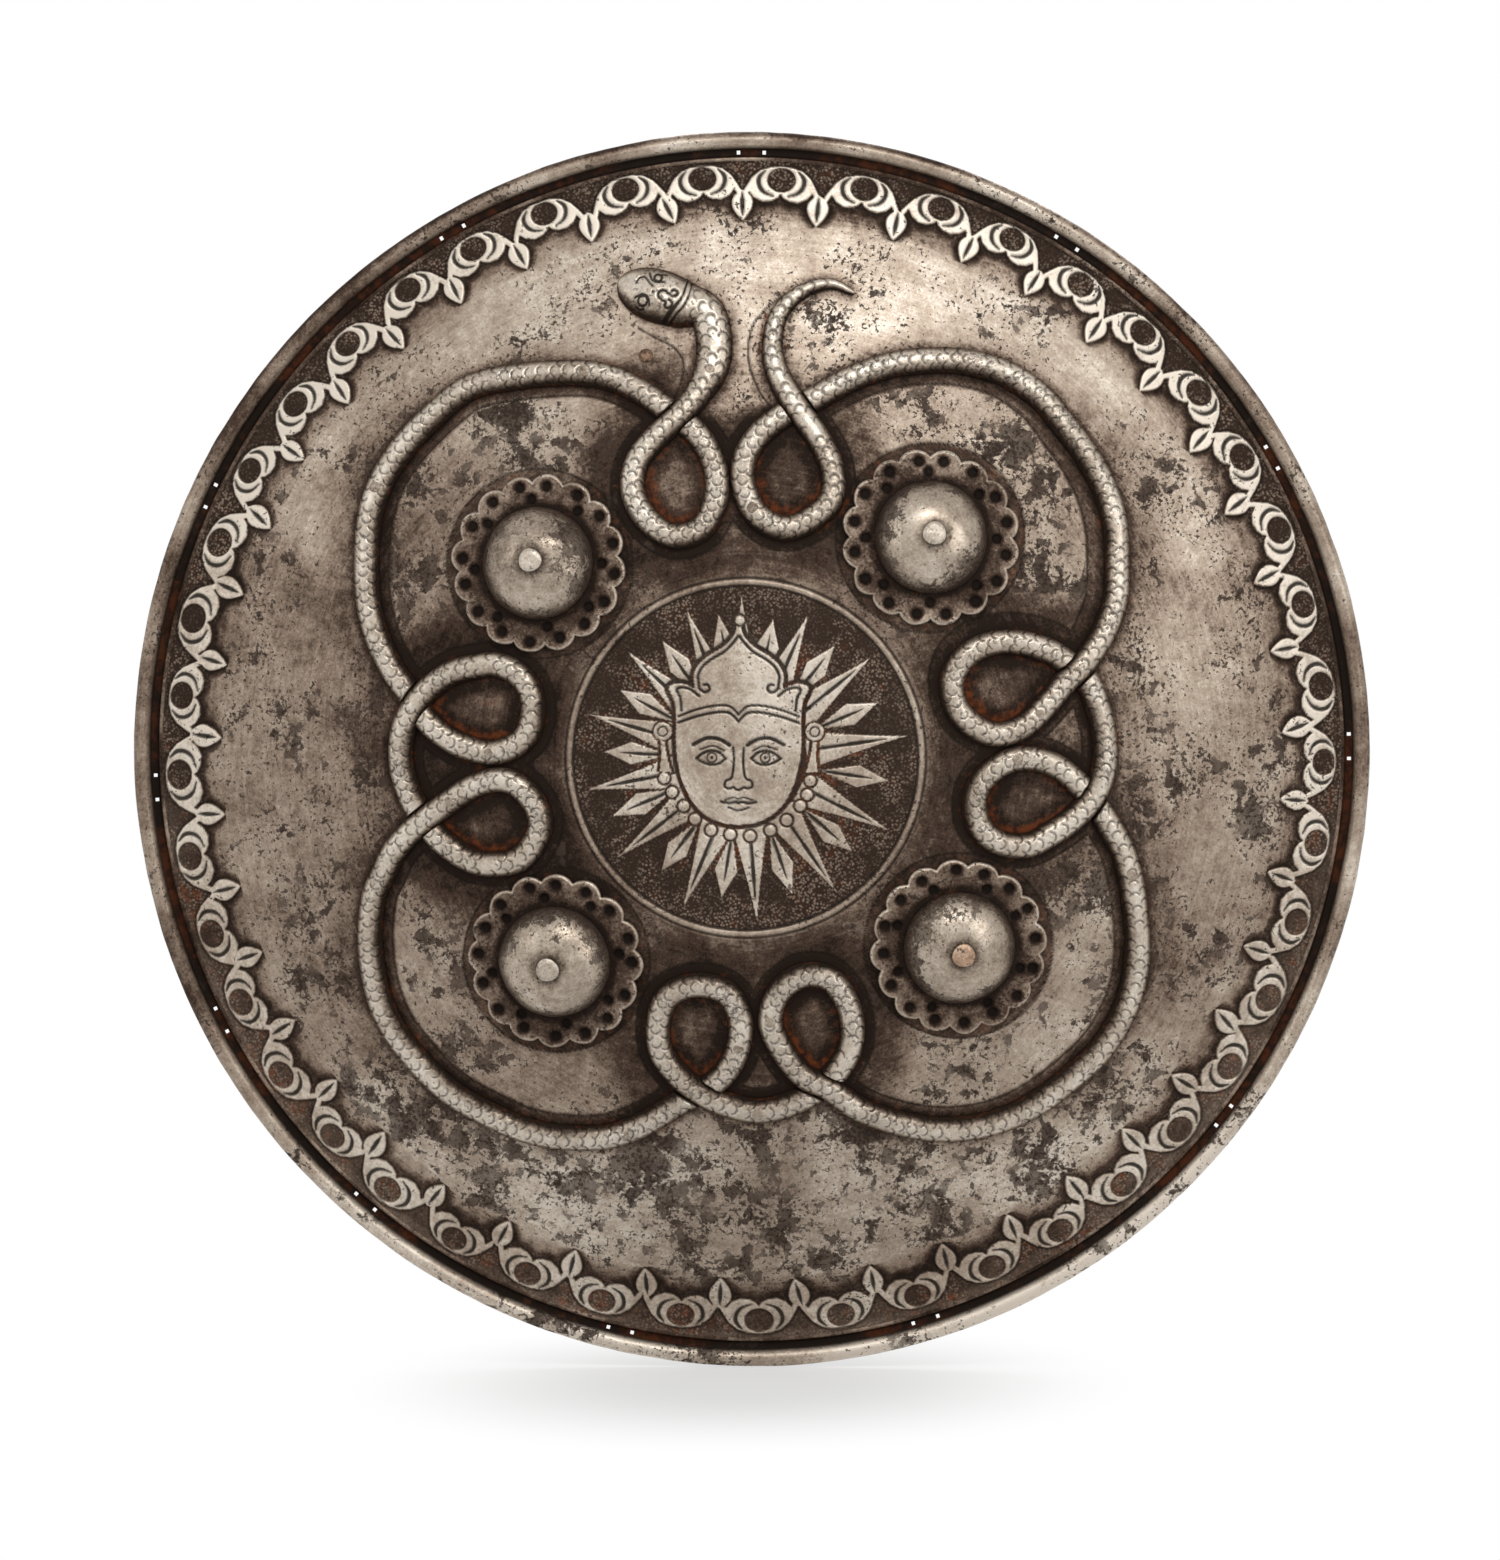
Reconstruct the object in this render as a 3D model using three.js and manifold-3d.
// A round iron shield with four bosses, an applied serpent and two handles at the back.
// Millimetres. The shield stands upright: +Z up, its front towards -Y, its handles towards +Y.
// The origin is where the hand closes round both grips, on the shield's axis.
//
// Pieces are drawn in the shield's own frame: x to the right as seen from the front, y up,
// z along the shield's axis towards the front, and z = 0 at the back of the rim.

import * as THREE from "three";
import * as BufferGeometryUtils from "three/addons/utils/BufferGeometryUtils.js";
import Module from "manifold-3d";

const wasm = await Module();
wasm.setup();

// Driving sizes

const seatGap = 0.3; // between pieces that rest on each other
const overrun = 1; // how far a cutting tool runs past what it cuts

const plate = {
  radius: 200,
  thickness: 1.8,
  domeRadius: 430, // sphere of the front surface
  domeStep: 25, // most that its profile covers in one straight run
  beadRadius: 2.7, // the edge rolled forward
  grooveWidth: 2.4, // inside the bead
  ridgeWidth: 1,
  ridgeHeight: 3.1,
  ridgeSlope: 1.7, // between the ridge's top and the flange
  flangeWidth: 19,
  flangeFront: 2.6, // height of the flange's outer edge over the back of the rim
  flangeRise: 6, // from its outer edge to its inner edge
};

const stitch = {
  radius: 0.7,
  pitch: 8, // between the two holes of a pair
};

const serpent = {
  width: 7.6,
  height: 4.4,
  neckWidth: 11,
  collarWidth: 15,
  headWidth: 16.8,
  headLength: 21, // from the collar to the tip
  headHeight: 5.6,
  tailTip: 1,
  tailLength: 78,
  neckLength: 44,
  flareLength: 10, // where the neck widens to the collar
  step: 7.5, // between the sections of its solid
};

const serpentRivet = {
  shankRadius: 1.5,
  backHeadRadius: 3,
  backHeadHeight: 1.2,
  proud: 0.3,
};

const plateRivet = {
  shankRadius: 1.5,
  headRadius: 2.4,
  headHeight: 0.8,
};

const rosette = {
  radius: 28.7,
  thickness: 1.6,
  scallopPitch: 11.27, // along the rim
  scallopDepth: 1.7,
  outerHolesFromRim: 3.7,
  outerHoleRadius: 1.75,
  innerHolePitch: 16.65, // along their circle
  innerHolesFromRim: 7.5,
  innerHoleRadius: 1.6,
};

const dome = {
  radius: 18.3,
  height: 11.6,
  wall: 2.2,
};

const bolt = {
  shankRadius: 2.4,
  studRadius: 4,
  studHeight: 1.5,
  collarRadius: 4.2,
  collarHeight: 1.6,
  eyeWire: 2, // radius of the eye's own wire
  eyeBore: 3.1,
};

const washer = {
  radius: 9,
  thickness: 1.5,
};

const pad = {
  halfSideShare: 0.3775, // of the plate's radius, between the serpent's rivets
  cornerRadius: 16,
  edgeThickness: 2.6,
  crown: 9, // of its middle over its edge
  flatBorder: 21, // the thin border that the washers press on
};

const ring = {
  wireRadius: 2,
  radius: 9.5, // to the middle of the wire
};

const grip = {
  leanDegrees: 57, // of each handle towards the other, from the shield's axis
  coreRadius: 2.2,
  loopWire: 1.7,
  loopBore: 3.1,
  coverRadius: 9.5,
  coverEndRadius: 5.4,
  spacing: 4, // between the two covers
};

// Places round the shield, in degrees anticlockwise from +x, as seen from the front,
// and as shares of the plate's radius

const bosses = [
  { name: "upper_left", fromAxisShare: 0.4555, angle: 137.1, outerPhase: 16.8, innerPhase: 6 },
  { name: "lower_left", fromAxisShare: 0.45, angle: 227, outerPhase: 20.3, innerPhase: 8.6 },
  { name: "upper_right", fromAxisShare: 0.461, angle: 50.1, outerPhase: 11.1, innerPhase: 43.7 },
  { name: "lower_right", fromAxisShare: 0.4575, angle: 318.3, outerPhase: 5.1, innerPhase: 23.6 },
];

const stitchPairAngles = [90, 58.2, 29.5, 0.5, -37.7, -73, -102.7, -130.4, -152.8, -176.2, 155, 120];

// The serpent's centreline from the neck to the tail, as shares of the plate's radius

const serpentShares = [
  [-0.111, 0.726], [-0.069, 0.712], [-0.055, 0.67], [-0.058, 0.624], [-0.079, 0.583], [-0.107, 0.549],
  [-0.142, 0.517], [-0.175, 0.476], [-0.183, 0.428], [-0.162, 0.386], [-0.117, 0.356], [-0.073, 0.368],
  [-0.05, 0.409], [-0.048, 0.455], [-0.065, 0.498], [-0.089, 0.527], [-0.136, 0.561], [-0.168, 0.583],
  [-0.218, 0.606], [-0.268, 0.614], [-0.375, 0.606], [-0.449, 0.589], [-0.496, 0.554], [-0.548, 0.502],
  [-0.587, 0.446], [-0.609, 0.386], [-0.615, 0.317], [-0.611, 0.242], [-0.596, 0.186], [-0.57, 0.134],
  [-0.548, 0.105], [-0.512, 0.053], [-0.483, 0.029], [-0.454, 0.015], [-0.411, 0.006], [-0.374, 0.017],
  [-0.351, 0.038], [-0.342, 0.072], [-0.348, 0.108], [-0.368, 0.134], [-0.403, 0.148], [-0.432, 0.145],
  [-0.469, 0.136], [-0.501, 0.116], [-0.527, 0.09], [-0.547, 0.058], [-0.557, 0.021], [-0.557, -0.017],
  [-0.548, -0.051], [-0.538, -0.075], [-0.503, -0.126], [-0.477, -0.149], [-0.44, -0.17], [-0.406, -0.174],
  [-0.368, -0.167], [-0.342, -0.141], [-0.33, -0.104], [-0.344, -0.068], [-0.374, -0.042], [-0.406, -0.038],
  [-0.443, -0.051], [-0.483, -0.078], [-0.518, -0.104], [-0.547, -0.13], [-0.57, -0.158], [-0.587, -0.193],
  [-0.601, -0.222], [-0.61, -0.295], [-0.599, -0.385], [-0.576, -0.442], [-0.542, -0.489], [-0.483, -0.547],
  [-0.425, -0.581], [-0.356, -0.61], [-0.287, -0.621], [-0.218, -0.616], [-0.16, -0.592], [-0.108, -0.56],
  [-0.044, -0.52], [-0.016, -0.477], [-0.01, -0.419], [-0.032, -0.379], [-0.079, -0.367], [-0.125, -0.385],
  [-0.142, -0.43], [-0.137, -0.477], [-0.102, -0.523], [-0.079, -0.54], [-0.044, -0.558], [0.019, -0.573],
  [0.089, -0.552], [0.145, -0.507], [0.17, -0.454], [0.163, -0.397], [0.134, -0.356], [0.094, -0.35],
  [0.053, -0.379], [0.039, -0.426], [0.06, -0.477], [0.094, -0.518], [0.126, -0.532], [0.181, -0.57],
  [0.244, -0.594], [0.317, -0.605], [0.39, -0.596], [0.453, -0.57], [0.512, -0.528], [0.562, -0.482],
  [0.598, -0.429], [0.621, -0.365], [0.627, -0.301], [0.623, -0.243], [0.614, -0.186], [0.603, -0.15],
  [0.584, -0.114], [0.566, -0.085], [0.529, -0.039], [0.498, -0.014], [0.467, -0.002], [0.43, -0.002],
  [0.396, -0.02], [0.373, -0.048], [0.368, -0.082], [0.38, -0.116], [0.411, -0.138], [0.454, -0.141],
  [0.491, -0.122], [0.522, -0.101], [0.55, -0.073], [0.569, -0.036], [0.576, 0.008], [0.571, 0.055],
  [0.559, 0.094], [0.547, 0.122], [0.504, 0.16], [0.473, 0.176], [0.43, 0.186], [0.383, 0.181],
  [0.346, 0.156], [0.331, 0.122], [0.339, 0.082], [0.368, 0.051], [0.405, 0.038], [0.445, 0.051],
  [0.479, 0.082], [0.51, 0.119], [0.538, 0.147], [0.563, 0.181], [0.581, 0.218], [0.592, 0.255],
  [0.594, 0.31], [0.59, 0.37], [0.575, 0.425], [0.545, 0.482], [0.503, 0.537], [0.471, 0.575],
  [0.412, 0.614], [0.351, 0.632], [0.289, 0.635], [0.226, 0.627], [0.165, 0.606], [0.112, 0.577],
  [0.058, 0.548], [0.017, 0.514], [-0.005, 0.472], [-0.002, 0.428], [0.02, 0.389], [0.062, 0.369],
  [0.108, 0.386], [0.137, 0.418], [0.137, 0.465], [0.118, 0.507], [0.089, 0.548], [0.065, 0.583],
  [0.045, 0.624], [0.039, 0.663], [0.048, 0.706], [0.072, 0.735], [0.105, 0.753], [0.137, 0.756],
  [0.169, 0.742],
];

// At each crossing, in order along the serpent: whether the strand met later lies on top
const laterStrandOnTop = [false, true, true, true, true, true, true, true];

// Where the rivets stand: the section's number, and the share of its length
const serpentRivetPlaces = [
  { section: 1, lengthShare: 0.2 },
  { section: 1, lengthShare: 0.86 },
  { section: 2, lengthShare: 0.16 },
  { section: 2, lengthShare: 0.62 },
  { section: 3, lengthShare: 0.19 },
  { section: 4, lengthShare: 0.3 },
  { section: 4, lengthShare: 0.92 },
  { section: 5, lengthShare: 0.12 },
  { section: 5, lengthShare: 0.86 },
  { section: 6, lengthShare: 0.23 },
  { section: 6, lengthShare: 0.68 },
  { section: 6, lengthShare: 0.917 },
  { section: 7, lengthShare: 0.18 },
  { section: 8, lengthShare: 0.3 },
  { section: 8, lengthShare: 0.8 },
  { section: 9, lengthShare: 0.228 },
];

const plateRivetShares = [-0.165, 0.643]; // of the plate's radius

// Colours

const iron = () => new THREE.MeshStandardMaterial({ color: 0x8c857c, roughness: 0.45, metalness: 0.9 });
const paleIron = () => new THREE.MeshStandardMaterial({ color: 0xa59d92, roughness: 0.4, metalness: 0.9 });
const darkIron = () => new THREE.MeshStandardMaterial({ color: 0x6b6259, roughness: 0.5, metalness: 0.9 });
const copper = () => new THREE.MeshStandardMaterial({ color: 0x9a6a4a, roughness: 0.45, metalness: 0.9 });
const leather = () => new THREE.MeshStandardMaterial({ color: 0x5a3a26, roughness: 0.8, metalness: 0 });

// Solids for joining and cutting

function solidOf(geometry) {
  const bare = geometry.clone();
  bare.deleteAttribute("normal");
  bare.deleteAttribute("uv");
  const merged = BufferGeometryUtils.mergeVertices(bare);
  return new wasm.Manifold(new wasm.Mesh({
    numProp: 3,
    vertProperties: new Float32Array(merged.attributes.position.array),
    triVerts: new Uint32Array(merged.index.array),
  }));
}

function geometryOf(solid) {
  const mesh = solid.getMesh();
  const geometry = new THREE.BufferGeometry();
  geometry.setAttribute("position", new THREE.BufferAttribute(new Float32Array(mesh.vertProperties), 3));
  geometry.setIndex(new THREE.BufferAttribute(new Uint32Array(mesh.triVerts), 1));
  geometry.computeVertexNormals();
  return geometry;
}

function cutAll(geometry, tools) {
  let solid = solidOf(geometry);
  for (const tool of tools) {
    solid = solid.subtract(solidOf(tool));
  }
  return geometryOf(solid);
}

function joinAll(geometries) {
  let solid = solidOf(geometries[0]);
  for (const geometry of geometries.slice(1)) {
    solid = solid.add(solidOf(geometry));
  }
  return geometryOf(solid);
}

// A closed solid of revolution about z from [radius, z] points
function turned(points, segments) {
  const geometry = new THREE.LatheGeometry(points.map(([r, z]) => new THREE.Vector2(r, z)), segments);
  return geometry.rotateX(Math.PI / 2);
}

// A closed solid through rings of points, each ring with as many points as the last
function lofted(rings) {
  const count = rings[0].length;
  const positions = rings.flat().flatMap((p) => [p.x, p.y, p.z]);
  const indices = [];
  for (let i = 0; i + 1 < rings.length; i += 1) {
    for (let j = 0; j < count; j += 1) {
      const a = i * count + j;
      const b = i * count + (j + 1) % count;
      indices.push(a, b, b + count, a, b + count, a + count);
    }
  }
  const last = (rings.length - 1) * count;
  for (let j = 1; j + 1 < count; j += 1) {
    indices.push(0, j + 1, j);
    indices.push(last, last + j, last + j + 1);
  }
  const geometry = new THREE.BufferGeometry();
  geometry.setAttribute("position", new THREE.Float32BufferAttribute(positions, 3));
  geometry.setIndex(indices);
  geometry.computeVertexNormals();
  return geometry;
}

function named(geometry, material, name) {
  const mesh = new THREE.Mesh(geometry, material);
  mesh.name = name;
  return mesh;
}

// The rim from outside to inside: bead, groove, ridge and flange

const beadCentre = plate.radius - plate.beadRadius;
const grooveOuter = beadCentre - plate.beadRadius;
const grooveInner = grooveOuter - plate.grooveWidth;
const ridgeOuter = grooveInner - plate.ridgeWidth / 2;
const ridgeInner = ridgeOuter - plate.ridgeWidth;
const flangeOuter = ridgeInner - plate.ridgeSlope;
const flangeInner = flangeOuter - plate.flangeWidth;
const stitchCircle = grooveInner + stitch.radius + seatGap;

// The dome's front surface

const flangeOuterSlope = 0.12;
const domeDrop = (r) => plate.domeRadius - Math.sqrt(plate.domeRadius ** 2 - r ** 2);
const apexHeight = plate.flangeFront + plate.flangeRise + domeDrop(flangeInner);

// The flange leaves the dome at its slope and levels out towards the rim
function flangeHeight(r) {
  const t = (r - flangeInner) / plate.flangeWidth;
  const innerSlope = -flangeInner / Math.sqrt(plate.domeRadius ** 2 - flangeInner ** 2);
  const start = plate.flangeFront + plate.flangeRise;
  const hermiteStart = 2 * t ** 3 - 3 * t ** 2 + 1;
  const hermiteEnd = 1 - hermiteStart;
  const slopeStart = (t ** 3 - 2 * t ** 2 + t) * plate.flangeWidth * innerSlope;
  const slopeEnd = (t ** 2 - t ** 3) * plate.flangeWidth * flangeOuterSlope;
  return hermiteStart * start + hermiteEnd * plate.flangeFront + slopeStart + slopeEnd;
}

function frontHeight(r) {
  return r <= flangeInner ? apexHeight - domeDrop(r) : flangeHeight(Math.min(r, flangeOuter));
}

function frontPoint(x, y) {
  return new THREE.Vector3(x, y, frontHeight(Math.hypot(x, y)));
}

function frontNormal(x, y) {
  return new THREE.Vector3(x, y, Math.sqrt(plate.domeRadius ** 2 - x ** 2 - y ** 2)).normalize();
}

function onSurface(x, y) {
  const group = new THREE.Group();
  group.position.copy(frontPoint(x, y));
  group.quaternion.setFromUnitVectors(new THREE.Vector3(0, 0, 1), frontNormal(x, y));
  return group;
}

// A cylinder along the surface's normal that passes right through the plate
function drillThrough(x, y, radius, above, sides) {
  const length = above + plate.thickness + 2 * overrun;
  const tool = new THREE.CylinderGeometry(radius, radius, length, sides).rotateX(Math.PI / 2);
  tool.translate(0, 0, above + overrun - length / 2);
  const place = onSurface(x, y);
  place.updateMatrix();
  return tool.applyMatrix4(place.matrix);
}

// The serpent's centreline

const centreline = new THREE.CatmullRomCurve3(
  serpentShares.map(([x, y]) => new THREE.Vector3(x * plate.radius, y * plate.radius, 0)),
  false,
  "centripetal",
);
const centrelineLength = centreline.getLength();
const samples = 1600;
centreline.arcLengthDivisions = samples;
const centrelinePoints = centreline.getSpacedPoints(samples);

function crossingOf(p, q, r, s) {
  const ux = q.x - p.x;
  const uy = q.y - p.y;
  const vx = s.x - r.x;
  const vy = s.y - r.y;
  const det = ux * vy - uy * vx;
  if (det === 0) {
    return null;
  }
  const a = ((r.x - p.x) * vy - (r.y - p.y) * vx) / det;
  const b = ((r.x - p.x) * uy - (r.y - p.y) * ux) / det;
  return a >= 0 && a < 1 && b >= 0 && b < 1 ? [a, b] : null;
}

// Each place where the centreline crosses itself, as shares of its length
function findCrossings() {
  const found = [];
  for (let i = 0; i < samples; i += 1) {
    for (let j = i + 2; j < samples; j += 1) {
      const at = crossingOf(
        centrelinePoints[i], centrelinePoints[i + 1], centrelinePoints[j], centrelinePoints[j + 1],
      );
      if (at) {
        found.push({ early: (i + at[0]) / samples, late: (j + at[1]) / samples });
      }
    }
  }
  return found;
}

const crossings = findCrossings();

function tangentAt(share) {
  const tangent = centreline.getTangentAt(Math.min(Math.max(share, 0), 1));
  return new THREE.Vector2(tangent.x, tangent.y).normalize();
}

// The strand is narrower at the tail and wider at the neck
function widthAt(share) {
  const along = share * centrelineLength;
  const left = centrelineLength - along;
  const neck = Math.max(0, 1 - along / serpent.neckLength);
  const flare = Math.max(0, 1 - along / serpent.flareLength) ** 2;
  const tail = Math.min(1, left / serpent.tailLength);
  const body = serpent.width + (serpent.neckWidth - serpent.width) * Math.min(1, 1.6 * neck);
  const flared = body + (serpent.collarWidth - serpent.neckWidth) * flare;
  return serpent.tailTip + (flared - serpent.tailTip) * tail ** 0.7;
}

function heightAt(share) {
  const left = (1 - share) * centrelineLength;
  const tail = Math.min(1, left / serpent.tailLength);
  return serpent.height * (0.3 + 0.7 * tail ** 0.7);
}

const archShares = [[1, 0], [0.9, 0.55], [0.45, 0.95], [-0.45, 0.95], [-0.9, 0.55], [-1, 0]];

// One section of the strand at a share of the centreline, its ring leaning so that a cut end
// lies along the strand that it butts against
function strandRing(share, lean) {
  const middle = centreline.getPointAt(share);
  const tangent = tangentAt(share);
  const half = widthAt(share) / 2;
  const height = heightAt(share);
  return archShares.map(([across, up]) => {
    const side = across * half;
    const x = middle.x - tangent.y * side + tangent.x * side * lean;
    const y = middle.y + tangent.x * side + tangent.y * side * lean;
    return frontPoint(x, y).addScaledVector(frontNormal(x, y), seatGap + up * height);
  });
}

// How far along a strand its cut end lies from a crossing, and how it leans
function cutEnd(crossing, direction) {
  const under = laterStrandOnTop[crossings.indexOf(crossing)] ? crossing.early : crossing.late;
  const over = under === crossing.early ? crossing.late : crossing.early;
  const overTangent = tangentAt(over);
  let back = 0;
  let lean = 0;
  for (let pass = 0; pass < 4; pass += 1) {
    const tangent = tangentAt(under + direction * back / centrelineLength);
    const sine = tangent.x * overTangent.y - tangent.y * overTangent.x;
    const cosine = tangent.x * overTangent.x + tangent.y * overTangent.y;
    back = (widthAt(over) / 2 + 1.5 * seatGap) / Math.abs(sine);
    lean = cosine / sine;
  }
  return { share: under + direction * back / centrelineLength, lean };
}

// Where each section starts and ends along the centreline
function sectionSpans() {
  const spans = [];
  let start = { share: 0, lean: 0 };
  for (const crossing of crossings) {
    spans.push({ start, end: cutEnd(crossing, -1) });
    start = cutEnd(crossing, 1);
  }
  spans.push({ start, end: { share: 1, lean: 0 } });
  return spans;
}

const spans = sectionSpans();

function sectionShare(section, lengthShare) {
  const { start, end } = spans[section - 1];
  return start.share + (end.share - start.share) * lengthShare;
}

function sectionGeometry(section) {
  const { start, end } = spans[section - 1];
  const length = (end.share - start.share) * centrelineLength;
  const steps = Math.round(length / serpent.step);
  const rings = section === 1 ? headRings() : [];
  for (let i = 0; i <= steps; i += 1) {
    const t = i / steps;
    const fade = Math.max(0, 1 - t * length / serpent.width) * start.lean;
    const grow = Math.max(0, 1 - (1 - t) * length / serpent.width) * end.lean;
    rings.push(strandRing(start.share + (end.share - start.share) * t, fade + grow));
  }
  return lofted(rings);
}

// The head is a flat egg in front of the collar: shares of its length and width, from the tip
const headShares = [[1, 0.22], [0.95, 0.48], [0.8, 0.76], [0.55, 0.96], [0.28, 1], [0.06, 0.94]];

function headRings() {
  const collar = centreline.getPointAt(0);
  const tangent = tangentAt(0);
  return headShares.map(([alongShare, wideShare]) => {
    const x0 = collar.x - tangent.x * alongShare * serpent.headLength;
    const y0 = collar.y - tangent.y * alongShare * serpent.headLength;
    const height = (0.4 + 0.6 * wideShare) * serpent.headHeight;
    return archShares.map(([across, up]) => {
      const side = across * wideShare * serpent.headWidth / 2;
      const x = x0 - tangent.y * side;
      const y = y0 + tangent.x * side;
      return frontPoint(x, y).addScaledVector(frontNormal(x, y), seatGap + up * height);
    });
  });
}

const rivetCentres = serpentRivetPlaces.map(({ section, lengthShare }) => {
  const share = sectionShare(section, lengthShare);
  return { section, share, point: centreline.getPointAt(share) };
});

const sectionNames = spans.map((span, i) => {
  const number = i + 1;
  if (number === 1) {
    return "serpent_1_head";
  }
  return number === spans.length ? `serpent_${number}_tail` : `serpent_${number}`;
});

function serpentSections(parent) {
  sectionNames.forEach((name, i) => {
    const section = i + 1;
    const holes = rivetCentres.filter((rivet) => rivet.section === section).map(({ point }) => (
      drillThrough(point.x, point.y, serpentRivet.shankRadius + seatGap, serpent.headHeight, 6)
    ));
    parent.add(named(cutAll(sectionGeometry(section), holes), paleIron(), name));
  });
}

function serpentRivets(parent) {
  rivetCentres.forEach(({ share, point }, i) => {
    const top = seatGap + heightAt(share);
    const back = -plate.thickness - seatGap;
    const { shankRadius, backHeadRadius, backHeadHeight, proud } = serpentRivet;
    const profile = [
      [0, back - backHeadHeight],
      [backHeadRadius * 0.7, back - backHeadHeight * 0.8],
      [backHeadRadius, back],
      [shankRadius, back],
      [shankRadius, top - proud],
      [shankRadius * 0.6, top + proud],
      [0, top + proud],
    ];
    const place = onSurface(point.x, point.y);
    place.add(named(turned(profile, 6), iron(), `serpent_rivet_${String(i + 1).padStart(2, "0")}`));
    parent.add(place);
  });
}

function singlePlateRivet(parent) {
  const [x, y] = plateRivetShares.map((share) => share * plate.radius);
  const back = -plate.thickness - seatGap;
  const { shankRadius, headRadius, headHeight } = plateRivet;
  const place = onSurface(x, y);
  place.add(named(turned([
    [0, back - headHeight],
    [headRadius, back],
    [shankRadius, back],
    [shankRadius, seatGap],
    [headRadius, seatGap],
    [headRadius * 0.7, seatGap + headHeight * 0.8],
    [0, seatGap + headHeight],
  ], 8), copper(), "plate_rivet"));
  parent.add(place);
}

// The plate

function plateProfile() {
  const { thickness, ridgeHeight, beadRadius, domeRadius } = plate;
  const domeSteps = Math.ceil(flangeInner / plate.domeStep);
  const flangeSteps = 3;
  const front = [];
  for (let i = 0; i <= domeSteps; i += 1) {
    const r = flangeInner * i / domeSteps;
    front.push([r, frontHeight(r)]);
  }
  for (let i = 1; i <= flangeSteps; i += 1) {
    const r = flangeInner + plate.flangeWidth * i / flangeSteps;
    front.push([r, frontHeight(r)]);
  }
  // The back runs one thickness inside the dome and then lies flat behind the rim
  const backRadius = domeRadius - thickness;
  const backApex = apexHeight - thickness;
  const back = [];
  for (let i = 0; i <= domeSteps; i += 1) {
    const r = flangeInner * backRadius / domeRadius * i / domeSteps;
    back.push([r, backApex - (backRadius - Math.sqrt(backRadius ** 2 - r ** 2))]);
  }
  const middle = (flangeInner + flangeOuter) / 2;
  back.push([middle, frontHeight(middle) - thickness]);
  back.push([flangeOuter, 0]);
  const bead = [];
  const beadSteps = 7;
  for (let i = 0; i <= beadSteps; i += 1) {
    const angle = Math.PI - i / beadSteps * 1.5 * Math.PI;
    bead.push([beadCentre + beadRadius * Math.cos(angle), beadRadius + beadRadius * Math.sin(angle)]);
  }
  const aroundFromTheFront = [
    ...front,
    [ridgeInner, ridgeHeight],
    [ridgeOuter, ridgeHeight],
    [grooveInner, thickness],
    [grooveOuter, thickness],
    ...bead,
    ...back.reverse(),
  ];
  return aroundFromTheFront.reverse();
}

function stitchPoints() {
  return stitchPairAngles.flatMap((degrees) => {
    const middle = THREE.MathUtils.degToRad(degrees);
    const half = stitch.pitch / 2 / stitchCircle;
    return [middle - half, middle + half].map((angle) => (
      new THREE.Vector2(stitchCircle * Math.cos(angle), stitchCircle * Math.sin(angle))
    ));
  });
}

function shieldPlate(parent) {
  const stitchTools = stitchPoints().map((point) => {
    const depth = plate.thickness + 2 * overrun;
    const tool = new THREE.CylinderGeometry(stitch.radius, stitch.radius, depth, 5).rotateX(Math.PI / 2);
    return tool.translate(point.x, point.y, plate.thickness / 2);
  });
  const rivetTools = rivetCentres.map(({ point }) => (
    drillThrough(point.x, point.y, serpentRivet.shankRadius + seatGap, 0, 6)
  ));
  const [rivetX, rivetY] = plateRivetShares.map((share) => share * plate.radius);
  const singleTool = drillThrough(rivetX, rivetY, plateRivet.shankRadius + seatGap, 0, 8);
  const bossTools = bossPlaces.map(({ x, y }) => drillThrough(x, y, bolt.shankRadius + seatGap, 0, 10));
  const blank = turned(plateProfile(), 64);
  const tools = [...stitchTools, ...rivetTools, singleTool, ...bossTools];
  parent.add(named(cutAll(blank, tools), iron(), "shield_plate"));
}

// The bosses, each on a frame whose z is the surface's normal

const bossPlaces = bosses.map((entry) => {
  const angle = THREE.MathUtils.degToRad(entry.angle);
  const fromAxis = entry.fromAxisShare * plate.radius;
  const x = fromAxis * Math.cos(angle);
  const y = fromAxis * Math.sin(angle);
  return { ...entry, x, y, frame: onSurface(x, y) };
});

const rosetteBack = seatGap;
const rosetteFront = rosetteBack + rosette.thickness;
const domeBase = rosetteFront + seatGap;
const studSeat = domeBase + dome.height + seatGap;
const padFace = -plate.thickness - seatGap;
const padBack = padFace - pad.edgeThickness;
const washerFront = padBack - seatGap;
const washerBack = washerFront - washer.thickness;
const collarFront = washerBack - seatGap;
const collarBack = collarFront - bolt.collarHeight;
const eyeRadius = bolt.eyeBore + bolt.eyeWire;
const eyeCentre = collarBack - bolt.eyeBore - 1.6 * bolt.eyeWire;

function circlePath(x, y, radius, sides, turn) {
  const points = [];
  for (let i = 0; i < sides; i += 1) {
    const angle = turn - i / sides * 2 * Math.PI;
    points.push(new THREE.Vector2(x + radius * Math.cos(angle), y + radius * Math.sin(angle)));
  }
  return new THREE.Path(points);
}

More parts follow.
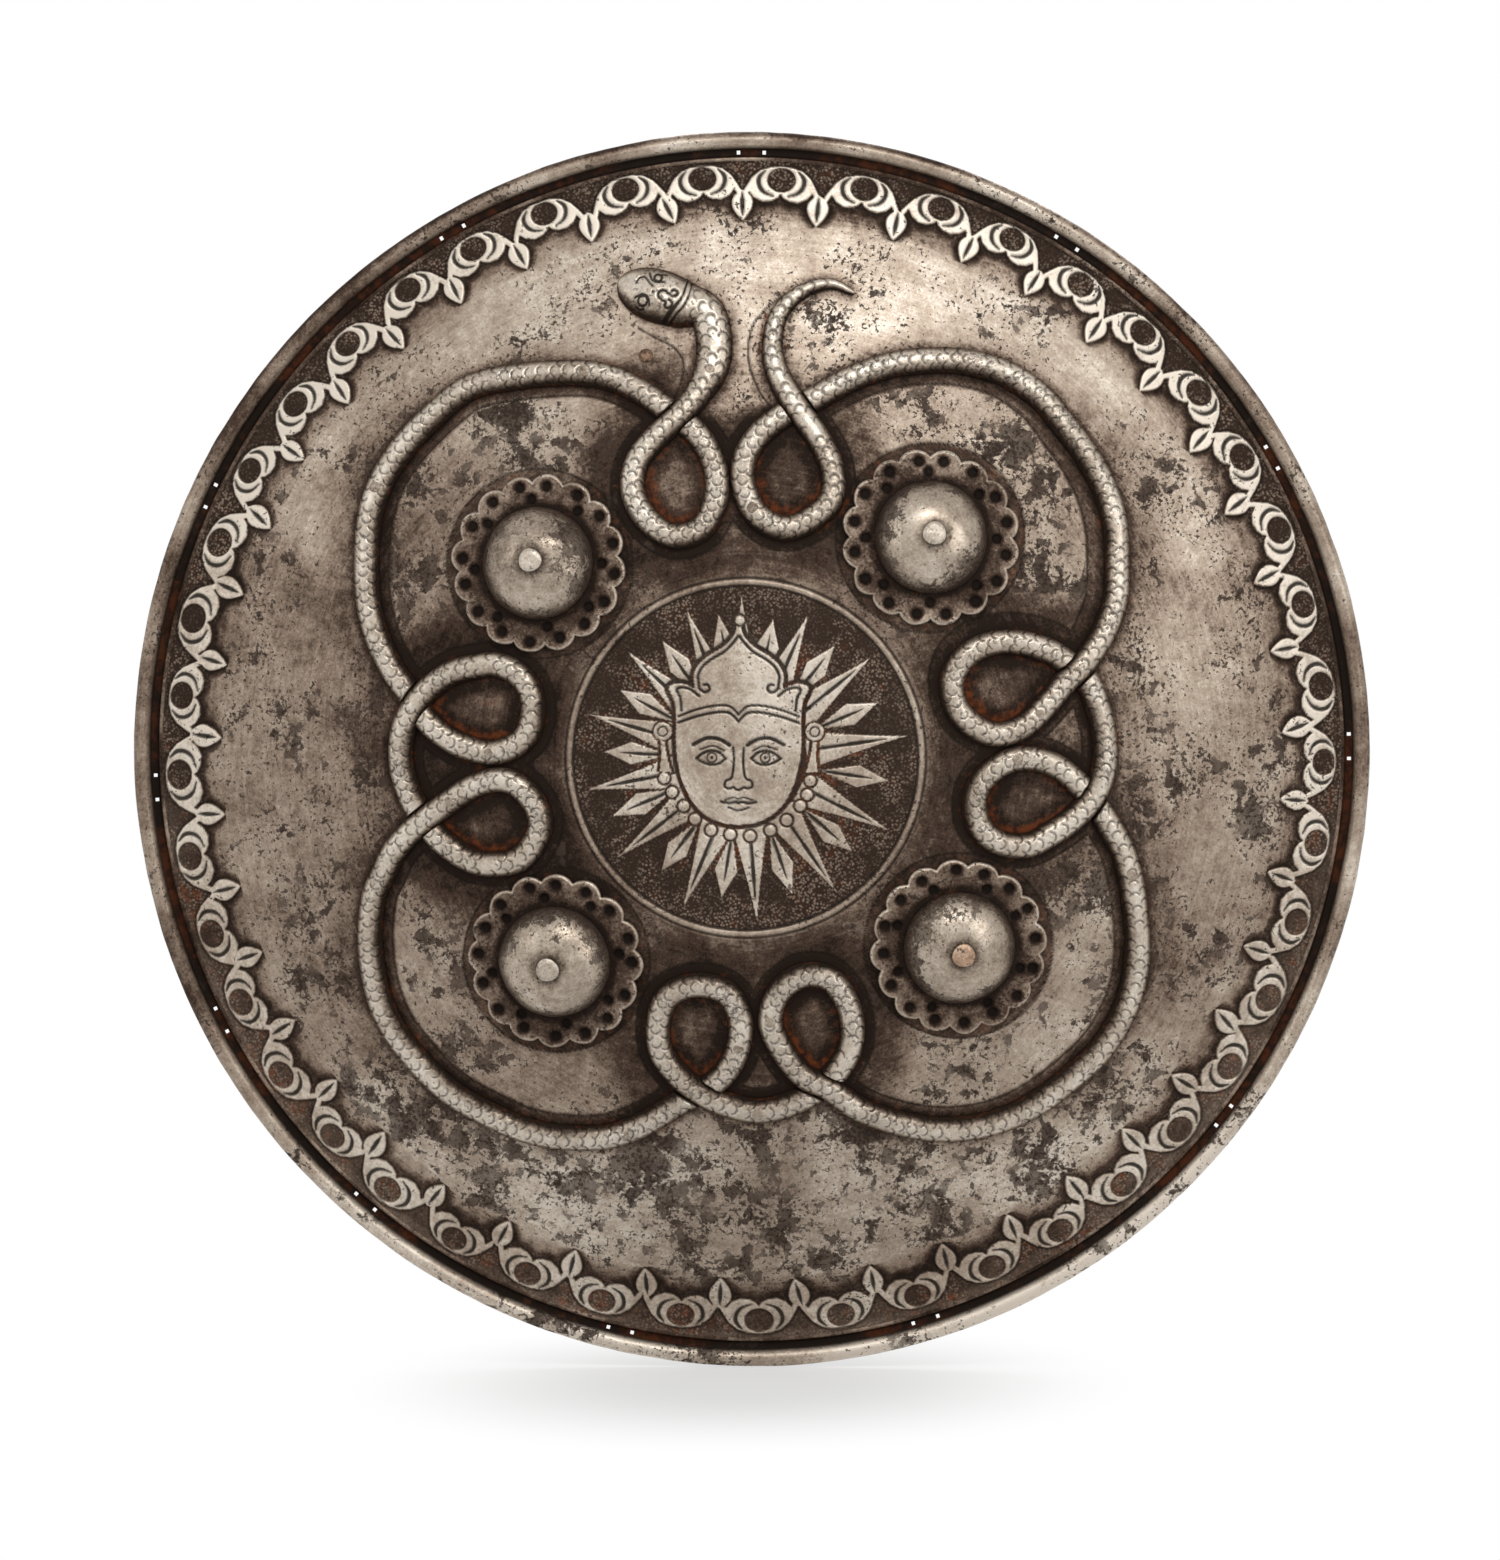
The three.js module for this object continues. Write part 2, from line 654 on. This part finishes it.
function rosetteGeometry(outerPhase, innerPhase) {
  const { radius, scallopDepth, scallopPitch, thickness } = rosette;
  const scallops = Math.round(2 * Math.PI * radius / scallopPitch);
  const outerCircle = radius - rosette.outerHolesFromRim;
  const innerCircle = radius - rosette.innerHolesFromRim;
  const innerHoles = Math.round(2 * Math.PI * innerCircle / rosette.innerHolePitch);
  const perScallop = 3;
  const outline = [];
  for (let i = 0; i < scallops * perScallop; i += 1) {
    const inScallop = (i % perScallop) / perScallop;
    const bulge = Math.sqrt(Math.sin(Math.PI * inScallop));
    const angle = outerPhase + (i / perScallop - 0.5) / scallops * 2 * Math.PI;
    const r = radius - scallopDepth + scallopDepth * bulge;
    outline.push(new THREE.Vector2(r * Math.cos(angle), r * Math.sin(angle)));
  }
  const shape = new THREE.Shape(outline);
  const holeCircle = (count, circle, holeRadius, phase) => {
    for (let i = 0; i < count; i += 1) {
      const angle = phase + i / count * 2 * Math.PI;
      const x = circle * Math.cos(angle);
      const y = circle * Math.sin(angle);
      shape.holes.push(circlePath(x, y, holeRadius, 6, angle));
    }
  };
  holeCircle(scallops, outerCircle, rosette.outerHoleRadius, outerPhase);
  holeCircle(innerHoles, innerCircle, rosette.innerHoleRadius, innerPhase);
  shape.holes.push(circlePath(0, 0, bolt.shankRadius + seatGap, 10, 0));
  const blank = new THREE.ExtrudeGeometry(shape, { depth: thickness, bevelEnabled: false });
  return blank.translate(0, 0, rosetteBack);
}

function domeGeometry() {
  const steps = 5;
  const bore = bolt.shankRadius + seatGap;
  const outer = [];
  const inner = [];
  const boreAngle = Math.acos(bore / dome.radius);
  const innerRadius = dome.radius - dome.wall;
  const innerAngle = Math.acos(bore / innerRadius);
  for (let i = 0; i <= steps; i += 1) {
    const a = boreAngle * i / steps;
    const b = innerAngle * i / steps;
    const innerRise = dome.height - dome.wall;
    outer.push([dome.radius * Math.cos(a), domeBase + dome.height * Math.sin(a) / Math.sin(boreAngle)]);
    inner.push([innerRadius * Math.cos(b), domeBase + innerRise * Math.sin(b) / Math.sin(innerAngle)]);
  }
  const closed = [...outer, ...inner.reverse(), outer[0]];
  return turned(closed, 16);
}

function washerGeometry() {
  const bore = bolt.shankRadius + seatGap;
  return turned([
    [bore, washerBack], [washer.radius, washerBack], [washer.radius, washerFront], [bore, washerFront],
    [bore, washerBack],
  ], 14);
}

function boltGeometry(eyeAxis) {
  const { shankRadius, studRadius, studHeight, collarRadius, eyeWire } = bolt;
  const neckEnd = eyeCentre + eyeRadius - eyeWire / 2;
  const shank = turned([
    [0, neckEnd],
    [shankRadius, neckEnd],
    [shankRadius, collarBack],
    [collarRadius, collarBack],
    [collarRadius, collarFront],
    [shankRadius, collarFront],
    [shankRadius, studSeat],
    [studRadius, studSeat],
    [studRadius * 0.85, studSeat + studHeight * 0.7],
    [studRadius * 0.45, studSeat + studHeight],
    [0, studSeat + studHeight],
  ], 10);
  const eye = new THREE.TorusGeometry(eyeRadius, eyeWire, 7, 14);
  eye.applyQuaternion(new THREE.Quaternion().setFromUnitVectors(new THREE.Vector3(0, 0, 1), eyeAxis));
  return joinAll([shank, eye.translate(0, 0, eyeCentre)]);
}

// The point of each eye's centre in the shield's frame
function eyePoint(place) {
  place.frame.updateMatrix();
  return new THREE.Vector3(0, 0, eyeCentre).applyMatrix4(place.frame.matrix);
}

function bossPieces(parent, hinges) {
  for (const place of bossPlaces) {
    const { name, frame, outerPhase, innerPhase } = place;
    const hinge = hinges.find(({ side }) => name.endsWith(side));
    const turnBack = frame.quaternion.clone().invert();
    const eyeAxis = hinge.direction.clone().applyQuaternion(turnBack);
    const phases = [outerPhase, innerPhase].map(THREE.MathUtils.degToRad);
    frame.add(named(rosetteGeometry(...phases), darkIron(), `${name}_rosette`));
    frame.add(named(domeGeometry(), paleIron(), `${name}_boss_dome`));
    frame.add(named(washerGeometry(), iron(), `${name}_back_washer`));
    frame.add(named(boltGeometry(eyeAxis), iron(), `${name}_eye_bolt`));
    parent.add(frame);
  }
}

// The pad: a square cushion that follows the plate's inside, thin at its border

const padHalfSide = pad.halfSideShare * plate.radius;
const padSpan = padHalfSide - pad.flatBorder;

function padOutline(shrink, angle) {
  const half = padHalfSide - shrink;
  const corner = Math.max(pad.cornerRadius - shrink, pad.cornerRadius / 4);
  const c = Math.cos(angle);
  const s = Math.sin(angle);
  const straight = half / Math.max(Math.abs(c), Math.abs(s));
  const inner = half - corner;
  const towards = inner * (Math.abs(c) + Math.abs(s));
  const round = towards + Math.sqrt(Math.max(0, towards ** 2 - 2 * inner ** 2 + corner ** 2));
  const onCorner = Math.min(Math.abs(c), Math.abs(s)) * straight > inner;
  return onCorner ? round : straight;
}

const padBorderShares = [0, 0.5, 1]; // rings on the flat border, from the edge
const padCrownShares = [0.15, 0.39, 0.7]; // rings on the crown, from the border

function padGeometry(turn) {
  const sides = 32;
  const shrinks = [
    ...padBorderShares.map((share) => share * pad.flatBorder),
    ...padCrownShares.map((share) => pad.flatBorder + share * padSpan),
  ];
  const insideRadius = plate.domeRadius - plate.thickness - seatGap;
  const surface = (shrink, thicker) => {
    const inward = Math.min(1, Math.max(0, (shrink - pad.flatBorder) / padSpan));
    const swell = pad.crown * Math.sin(inward * Math.PI / 2) ** 0.8;
    const thickness = thicker ? pad.edgeThickness + swell : 0;
    const points = [];
    for (let i = 0; i < sides; i += 1) {
      const angle = i / sides * 2 * Math.PI;
      const r = padOutline(shrink, angle);
      const at = new THREE.Vector3(r * Math.cos(angle + turn), r * Math.sin(angle + turn), 0);
      const drop = insideRadius - Math.sqrt(insideRadius ** 2 - r ** 2);
      at.z = apexHeight - plate.thickness - seatGap - drop - thickness;
      points.push(at);
    }
    return points;
  };
  const backRings = shrinks.map((shrink) => surface(shrink, true)).reverse();
  const frontRings = shrinks.map((shrink) => surface(shrink, false));
  return lofted([...backRings, ...frontRings]);
}

function knucklePad(parent) {
  const turn = bossPlaces.reduce((sum, { x, y }) => sum + Math.atan2(y, x), 0) / bossPlaces.length;
  const tools = bossPlaces.map(({ frame }) => {
    const radius = bolt.shankRadius + seatGap;
    const depth = pad.edgeThickness + 2 * seatGap + 2 * overrun;
    const tool = new THREE.CylinderGeometry(radius, radius, depth, 10).rotateX(Math.PI / 2);
    tool.translate(0, 0, (padFace + padBack) / 2);
    frame.updateMatrix();
    return tool.applyMatrix4(frame.matrix);
  });
  parent.add(named(cutAll(padGeometry(turn), tools), leather(), "knuckle_pad"));
}

// The handles: each hangs in two eyes and swings about the line through them

const playInEye = bolt.eyeBore - ring.wireRadius - seatGap;
const playInLoop = grip.loopBore - ring.wireRadius - seatGap;
const ringMiddle = playInEye + ring.radius;
const loopMiddle = playInEye + 2 * ring.radius + playInLoop;
const archStart = loopMiddle + grip.loopBore + grip.loopWire;
const gripLean = THREE.MathUtils.degToRad(grip.leanDegrees);

function handleHinges() {
  return ["left", "right"].map((side) => {
    const [upper, lower] = ["upper", "lower"].map((end) => (
      eyePoint(bossPlaces.find(({ name }) => name === `${end}_${side}`))
    ));
    const middle = upper.clone().add(lower).multiplyScalar(0.5);
    const direction = upper.clone().sub(lower);
    const halfSpan = direction.length() / 2;
    direction.normalize();
    const fromAxis = Math.abs(middle.x * direction.y - middle.y * direction.x);
    const sideways = fromAxis - grip.coverRadius - grip.spacing / 2;
    const reach = sideways / Math.sin(gripLean);
    return { side, middle, direction, halfSpan, reach, lean: side === "left" ? gripLean : -gripLean };
  });
}

const archSteps = 16; // of the core's rod, whose sections the cover's bore shares

// The grip's arch lies in its own plane: y along the hinge line, z away from it
function gripArch(halfSpan, reach) {
  const points = [];
  const steps = 24;
  for (let i = 0; i <= steps; i += 1) {
    const angle = i / steps * Math.PI;
    const y = halfSpan * Math.cos(angle);
    const z = archStart + (reach - archStart) * Math.sin(angle);
    points.push(new THREE.Vector3(0, y, z));
  }
  return new THREE.CatmullRomCurve3(points);
}

function sweptRound(curve, from, to, steps, sides, radiusAt) {
  const rings = [];
  for (let i = 0; i <= steps; i += 1) {
    const share = from + (to - from) * i / steps;
    const middle = curve.getPointAt(share);
    const tangent = curve.getTangentAt(share);
    const across = new THREE.Vector3(1, 0, 0);
    const up = new THREE.Vector3().crossVectors(tangent, across);
    const radius = radiusAt(i / steps);
    const points = [];
    for (let j = 0; j < sides; j += 1) {
      const angle = j / sides * 2 * Math.PI;
      const point = middle.clone().addScaledVector(across, radius * Math.cos(angle));
      points.push(point.addScaledVector(up, radius * Math.sin(angle)));
    }
    rings.push(points);
  }
  return lofted(rings);
}

function ringGeometry() {
  return new THREE.TorusGeometry(ring.radius, ring.wireRadius, 6, 18).rotateY(Math.PI / 2);
}

function gripCoreGeometry(curve, halfSpan) {
  const loop = () => (
    new THREE.TorusGeometry(grip.loopBore + grip.loopWire, grip.loopWire, 6, 12).rotateX(Math.PI / 2)
  );
  const rod = sweptRound(curve, 0, 1, archSteps, 6, () => grip.coreRadius);
  const loops = [halfSpan, -halfSpan].map((y) => loop().translate(0, y, loopMiddle));
  return joinAll([rod, ...loops]);
}

const coverShare = 0.13; // of the arch's length, left bare at each end

function gripCoverGeometry(curve) {
  const swell = (t) => {
    const bulge = Math.sin(Math.PI * t) ** 0.7;
    return grip.coverEndRadius + (grip.coverRadius - grip.coverEndRadius) * bulge;
  };
  const cover = sweptRound(curve, coverShare, 1 - coverShare, 12, 10, swell);
  // The bore's sections lie where the core's do, so that it clears the core all along
  const beyond = 1 / archSteps;
  const boreRadius = (grip.coreRadius + seatGap) / Math.cos(Math.PI / 6);
  const bore = sweptRound(curve, beyond, 1 - beyond, archSteps - 2, 6, () => boreRadius);
  return cutAll(cover, [bore]);
}

function handles(parent, hinges) {
  for (const { side, middle, direction, halfSpan, reach, lean } of hinges) {
    // y along the hinge line, z towards the back of the shield, before the lean
    const back = new THREE.Vector3(0, 0, -1).addScaledVector(direction, direction.z).normalize();
    const across = new THREE.Vector3().crossVectors(direction, back);
    const stand = new THREE.Group();
    stand.position.copy(middle);
    stand.quaternion.setFromRotationMatrix(new THREE.Matrix4().makeBasis(across, direction, back));
    const bail = new THREE.Group();
    bail.rotation.y = -lean;
    stand.add(bail);
    const curve = gripArch(halfSpan, reach);
    [["upper", halfSpan], ["lower", -halfSpan]].forEach(([end, y]) => {
      const mesh = named(ringGeometry(), iron(), `${end}_${side}_ring`);
      mesh.position.set(0, y, ringMiddle);
      bail.add(mesh);
    });
    bail.add(named(gripCoreGeometry(curve, halfSpan), iron(), `${side}_grip_core`));
    bail.add(named(gripCoverGeometry(curve), leather(), `${side}_grip_cover`));
    parent.add(stand);
  }
}

// The assembly

const shield = new THREE.Group();
const hinges = handleHinges();
shieldPlate(shield);
serpentSections(shield);
serpentRivets(shield);
singlePlateRivet(shield);
bossPieces(shield, hinges);
knucklePad(shield);
handles(shield, hinges);

// The shield's z turns to -Y, and the middle between the grips moves to the origin
const gripDepths = hinges.map(({ middle, reach, lean }) => middle.z - reach * Math.cos(lean));
shield.rotation.x = Math.PI / 2;
shield.position.y = gripDepths.reduce((sum, depth) => sum + depth, 0) / gripDepths.length;

const group = new THREE.Group();
group.add(shield);

export default group;
